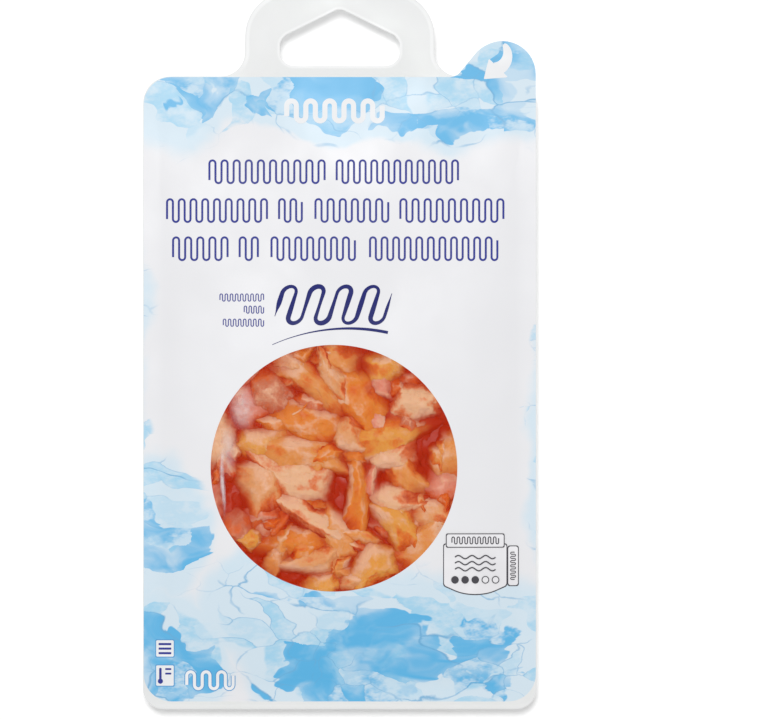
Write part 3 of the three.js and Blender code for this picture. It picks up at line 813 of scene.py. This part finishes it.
# Painted glare at the window's left, on a thin half-clear white sheet over the film: a sharp
# upright streak along the crease, and two soft glares.
GLARE_LEFT, GLARE_LOW, GLARE_WIDTH, GLARE_HEIGHT = -41.5, -58, 15.5, 47
GLARE_CELL, GLARE_SHEET = 0.5, 0.04
STREAK, STREAK_HALF_WIDTH = 0.46, 0.85
# x, y, half width, half height and strength
SOFT_GLARES = ((-32, -19, 5.5, 8.5, 0.2), (-37, -33, 3.6, 10, 0.18))
GLARE_SHADE, GLARE_WHITE = (0.86, 0.84, 0.88, 1), (0.95, 0.94, 0.96, 1)


def glare(x, y, middle_x, middle_y, half_width, half_height, strength):
    far = hypot((x - middle_x) / half_width, (y - middle_y) / half_height)
    return strength * (1 - smoothstep(0.1, 1, far))


film_glare, shader, place, cloud = new_plastic("film_glare", (0.3, 0.7, 0.12, 0.25), 2.5, 0.6, 0.2)
shown = times(carried(shader, "glare_share"), ramp(cloud, 0.25, 0.6, 0.45, 1.0))
dress(shader, Base_Color=blend(cloud, GLARE_SHADE, GLARE_WHITE), Alpha=shown)
glare_sheet = bmesh.new()
glare_layer = glare_sheet.verts.layers.float.new("glare_share")
columns, rows = round(GLARE_WIDTH / GLARE_CELL), round(GLARE_HEIGHT / GLARE_CELL)
bmesh.ops.create_grid(glare_sheet, x_segments=columns, y_segments=rows, size=0.5)
for vert in glare_sheet.verts:
    x = GLARE_LEFT + GLARE_WIDTH * (vert.co.x + 0.5)
    y = GLARE_LOW + GLARE_HEIGHT * (vert.co.y + 0.5)
    crease_x = CREASE_X + 0.5 * sin(y / CREASE_SWAY_LENGTH)
    streak = glare(x, y, crease_x, CREASE_Y, STREAK_HALF_WIDTH, CREASE_HALF_LENGTH, STREAK)
    vert[glare_layer] = streak + sum(glare(x, y, *row) for row in SOFT_GLARES)
    vert.co = (x, y, 0)
bmesh.ops.solidify(glare_sheet, geom=glare_sheet.faces[:], thickness=GLARE_SHEET)
for vert in glare_sheet.verts:
    vert.co.z += FILM_LOW + FILM + GLARE_SHEET + 0.02 + sealing_rise(vert.co.x, vert.co.y)
add_piece("painted_film_glare", glare_sheet, film_glare)

# ---- printed film
# A white film laminated on the clear one, with the same outline and a round window cut through
# it. It is printed with pale blue marbling, like cracked ice, that leaves the middle white.

PRINT_LOW = FILM_LOW + FILM + PLY_GAP
WINDOW_RADIUS = 40.7
WINDOW_STEPS = 180
PAPER_WHITE = seen(236, 236, 239)
PALE_ICE = seen(209, 230, 243)
ICE = seen(146, 208, 239)
DEEP_ICE = seen(80, 180, 231)
CRACK = seen(96, 170, 216)


# One field of print, which is gone at its half width and half height
field_values = ("X", "Y", "Half Width", "Half Height", "Strength")
print_field, given, out = new_effect("print_field", field_values, {"Field": "Float"})
middle = add_node(print_field, "CombineXYZ", {"X": given["X"], "Y": given["Y"]}).outputs[0]
halves = {"X": given["Half Width"], "Y": given["Half Height"], "Z": 1.0}
reach = add_node(print_field, "CombineXYZ", halves).outputs[0]
offset = reckon("SUBTRACT", given["Vector"], middle, "VectorMath")
share = reckon("DIVIDE", offset, reach, "VectorMath")
far = add_node(print_field, "VectorMath", {0: share}, operation="LENGTH").outputs["Value"]
strength = times(ramp(far, 0.0, 1.0, 1.0, 0.0), given["Strength"])
plug(out["Field"], strength)

# x, y, half width, half height and strength
ICE_FIELDS = [
    (-8, 90, 60, 26, 1.1), (-6, 82, 42, 16.5, 2.2), (-54, 84, 30, 26, 0.6),
    (46, 84, 42, 26, 0.9), (60, 98, 22, 18, 1.3), (-66, -58, 30, 34, 1.05),
    (-58, -100, 34, 30, 0.95), (8, -100, 52, 38, 1.35), (48, -98, 40, 34, 0.95),
    (-26, -84, 34, 26, 0.75), (70, -30, 13, 80, 0.55), (-70, 15, 12, 70, 0.45),
]
STREAK_TURN = radians(-38)  # the marbling runs down to the right
STREAK_STRETCH = 0.62

ice_print, shader, place, cloud = new_plastic("ice_print", (0.3, 0.7, 0.36, 0.46), 30.0, 0.8, 0.12)


def mapped(vector, **inputs):
    made = add_node(vector.id_data, "Mapping")
    dress(made, Vector=vector, **inputs)
    return made.outputs["Vector"]


def layer_noise(vector, size, detail, seed, roughness=0.55, output="Fac"):
    """Smooth noise whose lumps are about as wide as size, from 0 to 1."""
    moved = reckon("ADD", vector, (seed * 31.0, seed * 17.0, seed * 5.0), "VectorMath")
    return texture("Noise", moved, output, Scale=1 / size, Detail=detail, Roughness=roughness)


def warped(vector, size, reach, seed, detail=3.0):
    """The place, pushed about by noise, so that forms run like wet colour."""
    push = layer_noise(vector, size, detail, seed, output="Color")
    centred = reckon("SUBTRACT", push, (0.5, 0.5, 0.5), "VectorMath")
    scaled = reckon("MULTIPLY", centred, (reach, reach, 0), "VectorMath")
    return reckon("ADD", vector, scaled, "VectorMath")


def plates(vector, size, seed):
    """Cracked plates about as wide as size: draws for each, and the distance to a crack."""
    moved = reckon("ADD", vector, (seed * 23.0, seed * 41.0, 0), "VectorMath")
    draws = texture("Voronoi", moved, "Color", Scale=1 / size)
    away = texture("Voronoi", moved, "Distance", Scale=1 / size)
    draws.node.voronoi_dimensions = away.node.voronoi_dimensions = "2D"
    away.node.feature = "DISTANCE_TO_EDGE"
    draws = add_node(moved.id_data, "SeparateColor", {"Color": draws}).outputs
    return draws, times(away, size)


level = mapped(place, Scale=(1 / MM, 1 / MM, 0))
loose_level = warped(level, 24, 20, 1)
coverage = None
for row in ICE_FIELDS:
    field = use_effect(print_field, loose_level, **dict(zip(field_values, row)))["Field"]
    coverage = field if coverage is None else reckon("MAXIMUM", coverage, field)

streaks = mapped(level, Rotation=(0, 0, STREAK_TURN), Scale=(STREAK_STRETCH, 1, 1))
flow = warped(warped(streaks, 30, 34, 2), 7, 4.5, 3, 5.0)
large_draws, large_away = plates(flow, 21, 1)
small_draws, small_away = plates(flow, 8.5, 2)
tint = layer_noise(flow, 13, 3.0, 8)
thinning = layer_noise(streaks, 9, 4.0, 9, 0.7)

# A wash lies over the fields, and whole plates are paler or deeper, with crisp edges.
colour = blend(ramp(coverage, 0.06, 0.3, 0.0, 0.85), PAPER_WHITE, PALE_ICE)
mid = plus(times(small_draws["Red"], 0.7), times(coverage, 0.6))
mid = times(ramp(mid, 0.72, 0.76), ramp(thinning, 0.35, 0.62, 0.1, 0.8))
colour = blend(mid, colour, ICE)
deep = plus(times(large_draws["Red"], 0.8), times(coverage, 0.75))
deep = plus(deep, ramp(tint, 0.3, 0.7, -0.12, 0.12))
deep = times(ramp(deep, 0.93, 0.95), ramp(tint, 0.34, 0.6, 0.25, 1.0))
colour = blend(deep, colour, DEEP_ICE)
islets = ramp(small_draws["Green"], 0.72, 0.74)
islets = times(islets, ramp(thinning, 0.42, 0.6, 0.0, 0.85))
islets = times(islets, ramp(coverage, 0.1, 0.35))
colour = blend(islets, colour, PALE_ICE)

# Cracks between the plates fade in and out.
for away, width, strength, seed in ((large_away, 0.5, 0.85, 10), (small_away, 0.3, 0.6, 11)):
    shown = ramp(layer_noise(streaks, 16, 3.0, seed), 0.46, 0.62)
    line = times(ramp(away, 0.0, width, strength, 0.0), shown)
    line = times(line, ramp(coverage, 0.05, 0.3))
    colour = blend(line, colour, CRACK)
dress(shader, Base_Color=colour, Specular_IOR_Level=0.4)

printed = bmesh.new()
open_loop(printed, rounded_face(printed, LID_CORNERS))
ring = bmesh.ops.create_circle(printed, segments=WINDOW_STEPS, radius=WINDOW_RADIUS)["verts"]
bmesh.ops.translate(printed, vec=(WINDOW_X, WINDOW_Y, 0), verts=ring)
make_film(printed, printed.edges[:], PRINT_LOW, lid_rise)
marbled_film = add_piece("marbled_film", printed, ice_print, "printed_film")
marbled_film.visible_shadow = marbled_film.visible_diffuse = False

# ---- print marks
# The inks on top of the marbling: skins that follow the film's dome. Rows of arches stand where
# words would, waves and dots fill the badge, and a bent arrow marks the tab to peel by.

INK = 0.05  # the thickness of each layer
INK_SINK = 0.03
INK_GRID, STROKE_STEP = 3, 0.35
THIN_INK = 1.1  # how much brighter thin ink is
VIOLET = seen(50, 58, 146)
NAVY = seen(14, 24, 108)
INK_WHITE = seen(241, 242, 244)
LINE_GREY = seen(74, 72, 78)
PANEL_WHITE = seen(239, 238, 241)
ICON_BLUE = seen(92, 160, 212)


def add_bar(bm, left, low, right, high, radius):
    corners = ((left, low), (right, low), (right, high), (left, high))
    rounded_face(bm, [(x, y, radius) for x, y in corners], segments=6)


def add_disc(bm, x, y, radius):
    made = bmesh.ops.create_circle(bm, cap_ends=True, segments=32, radius=radius)["verts"]
    bmesh.ops.translate(bm, vec=(x, y, 0), verts=made)


def add_stroke(bm, path, length, half_width):
    """A ribbon along a path, a function of the distance from its start. An uneven half width
    is a function of the share of the length."""
    width_at = half_width if callable(half_width) else lambda share: half_width
    count = ceil(length / STROKE_STEP)
    for vert in bmesh.ops.create_grid(bm, x_segments=count, y_segments=1, size=0.5)["verts"]:
        far = length * (vert.co.x + 0.5)
        ahead = (Vector(path(far + 0.01)) - Vector(path(far - 0.01))).normalized()
        offset = 2 * vert.co.y * width_at(far / length)
        x, y = path(far)
        vert.co = (x - ahead.y * offset, y + ahead.x * offset, 0)


def add_arches(bm, start, end, middle, height, pitch, half_width, slant=0.0, upright=True):
    """A row of arches, over and under in turn, like a line of type."""
    count = round((end - start) / pitch)
    pitch = (end - start) / count
    stem = height - pitch
    one_arch = stem + pi * pitch / 2

    def path(far):
        done = floor(far / one_arch)
        rest = far - done * one_arch
        turned = max(0, rest - stem) * 2 / pitch
        rise = min(rest, stem) - stem / 2 + pitch / 2 * sin(turned)
        rise *= 1 - 2 * (done % 2)
        run = start + done * pitch + pitch / 2 * (1 - cos(turned)) + slant * rise
        return (run, middle + rise) if upright else (middle - rise, run)

    add_stroke(bm, path, count * one_arch + stem, half_width)


def add_arc(bm, x, y, radius, start, end, half_width):
    """A ribbon along an arc between two directions, in degrees."""
    start, end = radians(start), radians(end)
    way = 1 if end > start else -1

    def path(far):
        turned = start + way * far / radius
        return x + radius * cos(turned), y + radius * sin(turned)

    add_stroke(bm, path, radius * abs(end - start), half_width)


def lay_ink(name, bm, colour, layer=1):
    """Lays flat shapes on the film, in ink that covers it a little unevenly."""
    ink, shader, place, cloud = new_plastic(name, (0.3, 0.7, 0.34, 0.44), 14.0, 0.5, 0.15)
    thin = (*[level * THIN_INK for level in colour[:3]], 1)
    dress(shader, Base_Color=blend(ramp(cloud, 0.35, 0.7), colour, thin), Specular_IOR_Level=0.1)
    cut_grid(bm, INK_GRID)
    bmesh.ops.solidify(bm, geom=bm.faces[:], thickness=INK + INK_SINK)
    for vert in bm.verts:
        vert.co.z += PRINT_LOW + FILM + lid_rise(vert.co.x, vert.co.y) + layer * INK
    add_piece(name, bm, ink)


# The height, pitch and half width of the arches in each kind of line
HEADING, SHORT_LINE = (7.5, 1.95, 0.34), (2.4, 0.85, 0.17)
BADGE_HEADER, BADGE_SIDE = (2.3, 0.86, 0.18), (1.7, 0.7, 0.14)

# Three headings of thin violet arches, and three lines beside the flourish.
violet = bmesh.new()
for middle, words in (
    (58.9, ((-43, -5), (-1, 39))),
    (46.1, ((-57, -24), (-20, -12.5), (-8, 16), (20, 54))),
    (33.5, ((-55, -37), (-33, -27), (-22.5, 5), (10, 52))),
):
    for start, end in words:
        add_arches(violet, start, end, middle, *HEADING)
for start, middle in ((-39.5, 17.4), (-31.5, 13.4), (-38.4, 9.1)):
    add_arches(violet, start, -25.1, middle, *SHORT_LINE)
lay_ink("violet_ink", violet, VIOLET)

# The flourish: a slanting brush stroke of arches, underlined by a tapering arc.
navy = bmesh.new()
TIP, BRUSH, BRUSH_SWELL, BRUSH_SWELLS = 0.1, 0.56, 0.14, 45


def brush(share):
    """The half width of a brush stroke that starts and ends in a point."""
    pressed = smoothstep(0, 0.04, share) * smoothstep(1, 0.95, share)
    return TIP + (BRUSH + BRUSH_SWELL * sin(BRUSH_SWELLS * share)) * pressed


add_arches(navy, -20.2, 16, 15, 12.1, 4.5, brush, slant=0.32)
add_arc(navy, 3, -54.8, 62, 114, 78, lambda share: TIP + 0.4 * smoothstep(0, 1, share))
lay_ink("navy_ink", navy, NAVY)

# White: the bold mark at the top and the bent arrow on the peel tab.
white = bmesh.new()
add_arches(white, -17.5, 14, 79, 6.6, 3.1, 0.85)
add_arc(white, 50.3, 97.7, 5.1, 41, -78, lambda share: 0.4 + 1.9 * sqrt(share))
lay_ink("white_ink", white, INK_WHITE)
arrow_head = bmesh.new()
rounded_face(arrow_head, [(47.5, 89.5, 0.3), (55.6, 90.1, 0.3), (49.2, 96.3, 0.3)], segments=4)
lay_ink("arrow_head", arrow_head, INK_WHITE, layer=1.4)

# The badge: an outlined panel with a header and a side tab, three waves and five dots.
PANELS = (
    [(34.1, -77.8, 1.2), (44.7, -82.4, 16), (55.3, -77.8, 1.2), (55.3, -63.7, 0.8), (34.1, -63.7, 0.8)],
    [(55.3, -77.8, 0.8), (59.1, -77.8, 0.8), (59.1, -64.4, 0.8), (55.3, -64.4, 0.8)],
    [(35, -65.1, 0.6), (54.4, -65.1, 0.6), (54.4, -60.4, 0.6), (35, -60.4, 0.6)],
)
OUTLINE = 0.3
DOTS_X, DOTS_Y, DOT_PITCH, DOT, DOT_HOLE = 38, -75.7, 3.35, 1.25, 0.95
WAVES_X, WAVES_LENGTH, WAVE_RISE, WAVE_LENGTH, WAVE_HALF_WIDTH = 38, 13.4, 0.55, 4.5, 0.2


def add_panel(bm, corners, inset):
    """A panel, moved in from its corners. A corner on its middle line stays on it."""
    middle_x, middle_y = [sum(corner[axis] for corner in corners) / len(corners) for axis in (0, 1)]
    moved = []
    for x, y, radius in corners:
        step = copysign(inset, x - middle_x) if abs(x - middle_x) > 1 else 0
        moved.append((x - step, y - copysign(inset, y - middle_y), radius))
    rounded_face(bm, moved, segments=8)


for layer, corners in enumerate(PANELS):
    for part, inset, colour in (("edge", 0, LINE_GREY), ("panel", OUTLINE, PANEL_WHITE)):
        sheet = bmesh.new()
        add_panel(sheet, corners, inset)
        lay_ink(f"badge_{part}_{layer + 1}", sheet, colour, layer=2 * layer + 1 + (part == "panel"))
lines = bmesh.new()


def wave(far):
    return WAVES_X + far, middle + WAVE_RISE * sin(2 * pi * far / WAVE_LENGTH)


for middle in (-68.2, -70.2, -72.2):
    add_stroke(lines, wave, WAVES_LENGTH, WAVE_HALF_WIDTH)
for i in range(5):
    add_disc(lines, DOTS_X + DOT_PITCH * i, DOTS_Y, DOT)
add_arches(lines, 37, 52.4, -62.7, *BADGE_HEADER)
add_arches(lines, -75.6, -66.6, 57.2, *BADGE_SIDE, upright=False)
lay_ink("badge_lines", lines, LINE_GREY, layer=7)
holes = bmesh.new()
for i in (3, 4):
    add_disc(holes, DOTS_X + DOT_PITCH * i, DOTS_Y, DOT_HOLE)
lay_ink("badge_holes", holes, PANEL_WHITE, layer=8)

# Two small icons and the weight mark at the lower left: white, with blue outlines.
ICON_SIDES, ICON_HEIGHTS = (-60.9, -54.5), ((-101.4, -95.4), (-111, -103.7))
for name, colour, inset, corner, stroke, layer in (
    ("icon_edges", ICON_BLUE, 0, 0.5, 0.78, 1),
    ("icon_plates", INK_WHITE, 0.3, 0.4, 0.5, 2),
):
    sheet = bmesh.new()
    left, right = ICON_SIDES[0] + inset, ICON_SIDES[1] - inset
    for low, high in ICON_HEIGHTS:
        add_bar(sheet, left, low + inset, right, high - inset, corner)
    add_arches(sheet, -50.5, -35.2, -108.9, 5.6, 2.6, stroke)
    lay_ink(name, sheet, colour, layer)
bars = bmesh.new()
for i in range(3):
    add_bar(bars, -59.8, -100.3 + 1.5 * i, -55.6, -99.6 + 1.5 * i, 0.15)
add_bar(bars, -59.6, -109.2, -58.8, -104.8, 0.35)
add_disc(bars, -59.2, -109.2, 0.85)
for i in range(2):
    add_bar(bars, -57.6, -107 + 1.5 * i, -55.6, -106.4 + 1.5 * i, 0.15)
lay_ink("icon_bars", bars, VIOLET, layer=3)

# ---- table, light and camera
# The pack lies on a plain pale table under one large soft lamp, a little to the left of its
# hanging tab, with soft light from all round. The camera looks straight down on the lid.

TABLE_SIZE = 8.0  # in metres, as all below
TABLE_GLOW = 0.15  # it is a light table
TABLE_SHADE, TABLE_WHITE = (0.95, 0.95, 0.95, 1), (0.97, 0.97, 0.97, 1)
table = bmesh.new()
bmesh.ops.create_grid(table, x_segments=4, y_segments=4, size=TABLE_SIZE / 2)
table_mesh = bpy.data.meshes.new("table")
table.to_mesh(table_mesh)
table.free()
new_object("table", table_mesh)
table_paper, shader, place = new_material("table_paper")
cloud = use_effect(cloudy_plastic, place, Cloud_Size=200.0, Grain_Size=0.5)["Cloud"]
dress(
    shader,
    Base_Color=blend(cloud, TABLE_SHADE, TABLE_WHITE),
    Roughness=0.9,
    Specular_IOR_Level=0.1,
    Emission_Color=(1, 1, 1, 1),
    Emission_Strength=TABLE_GLOW,
)
table_mesh.materials.append(table_paper)

LAMP_SIZE, LAMP_POWER, LAMP_PLACE = 0.4, 26.0, Vector((-0.06, 0.37, 2.2))
lamp_data = bpy.data.lights.new("softbox", "AREA")
lamp_data.size = LAMP_SIZE
lamp_data.energy = LAMP_POWER
lamp = new_object("softbox", lamp_data)
lamp.location = LAMP_PLACE
lamp.rotation_euler = (-LAMP_PLACE).to_track_quat("-Z", "Y").to_euler()

AMBIENT = 0.45
scene = bpy.context.scene
world = bpy.data.worlds.new("studio")
world.use_nodes = True
dress(world.node_tree.nodes["Background"], Color=(1, 1, 1, 1), Strength=AMBIENT)
scene.world = world
scene.view_settings.view_transform = "Standard"

CAMERA_PLACE = (0.0146, -0.0032, 1.422)
camera_data = bpy.data.cameras.new("camera")
camera_data.lens = 200
camera_data.sensor_width = 36
camera_data.clip_end = 20
camera = new_object("camera", camera_data)
camera.location = CAMERA_PLACE
scene.camera = camera
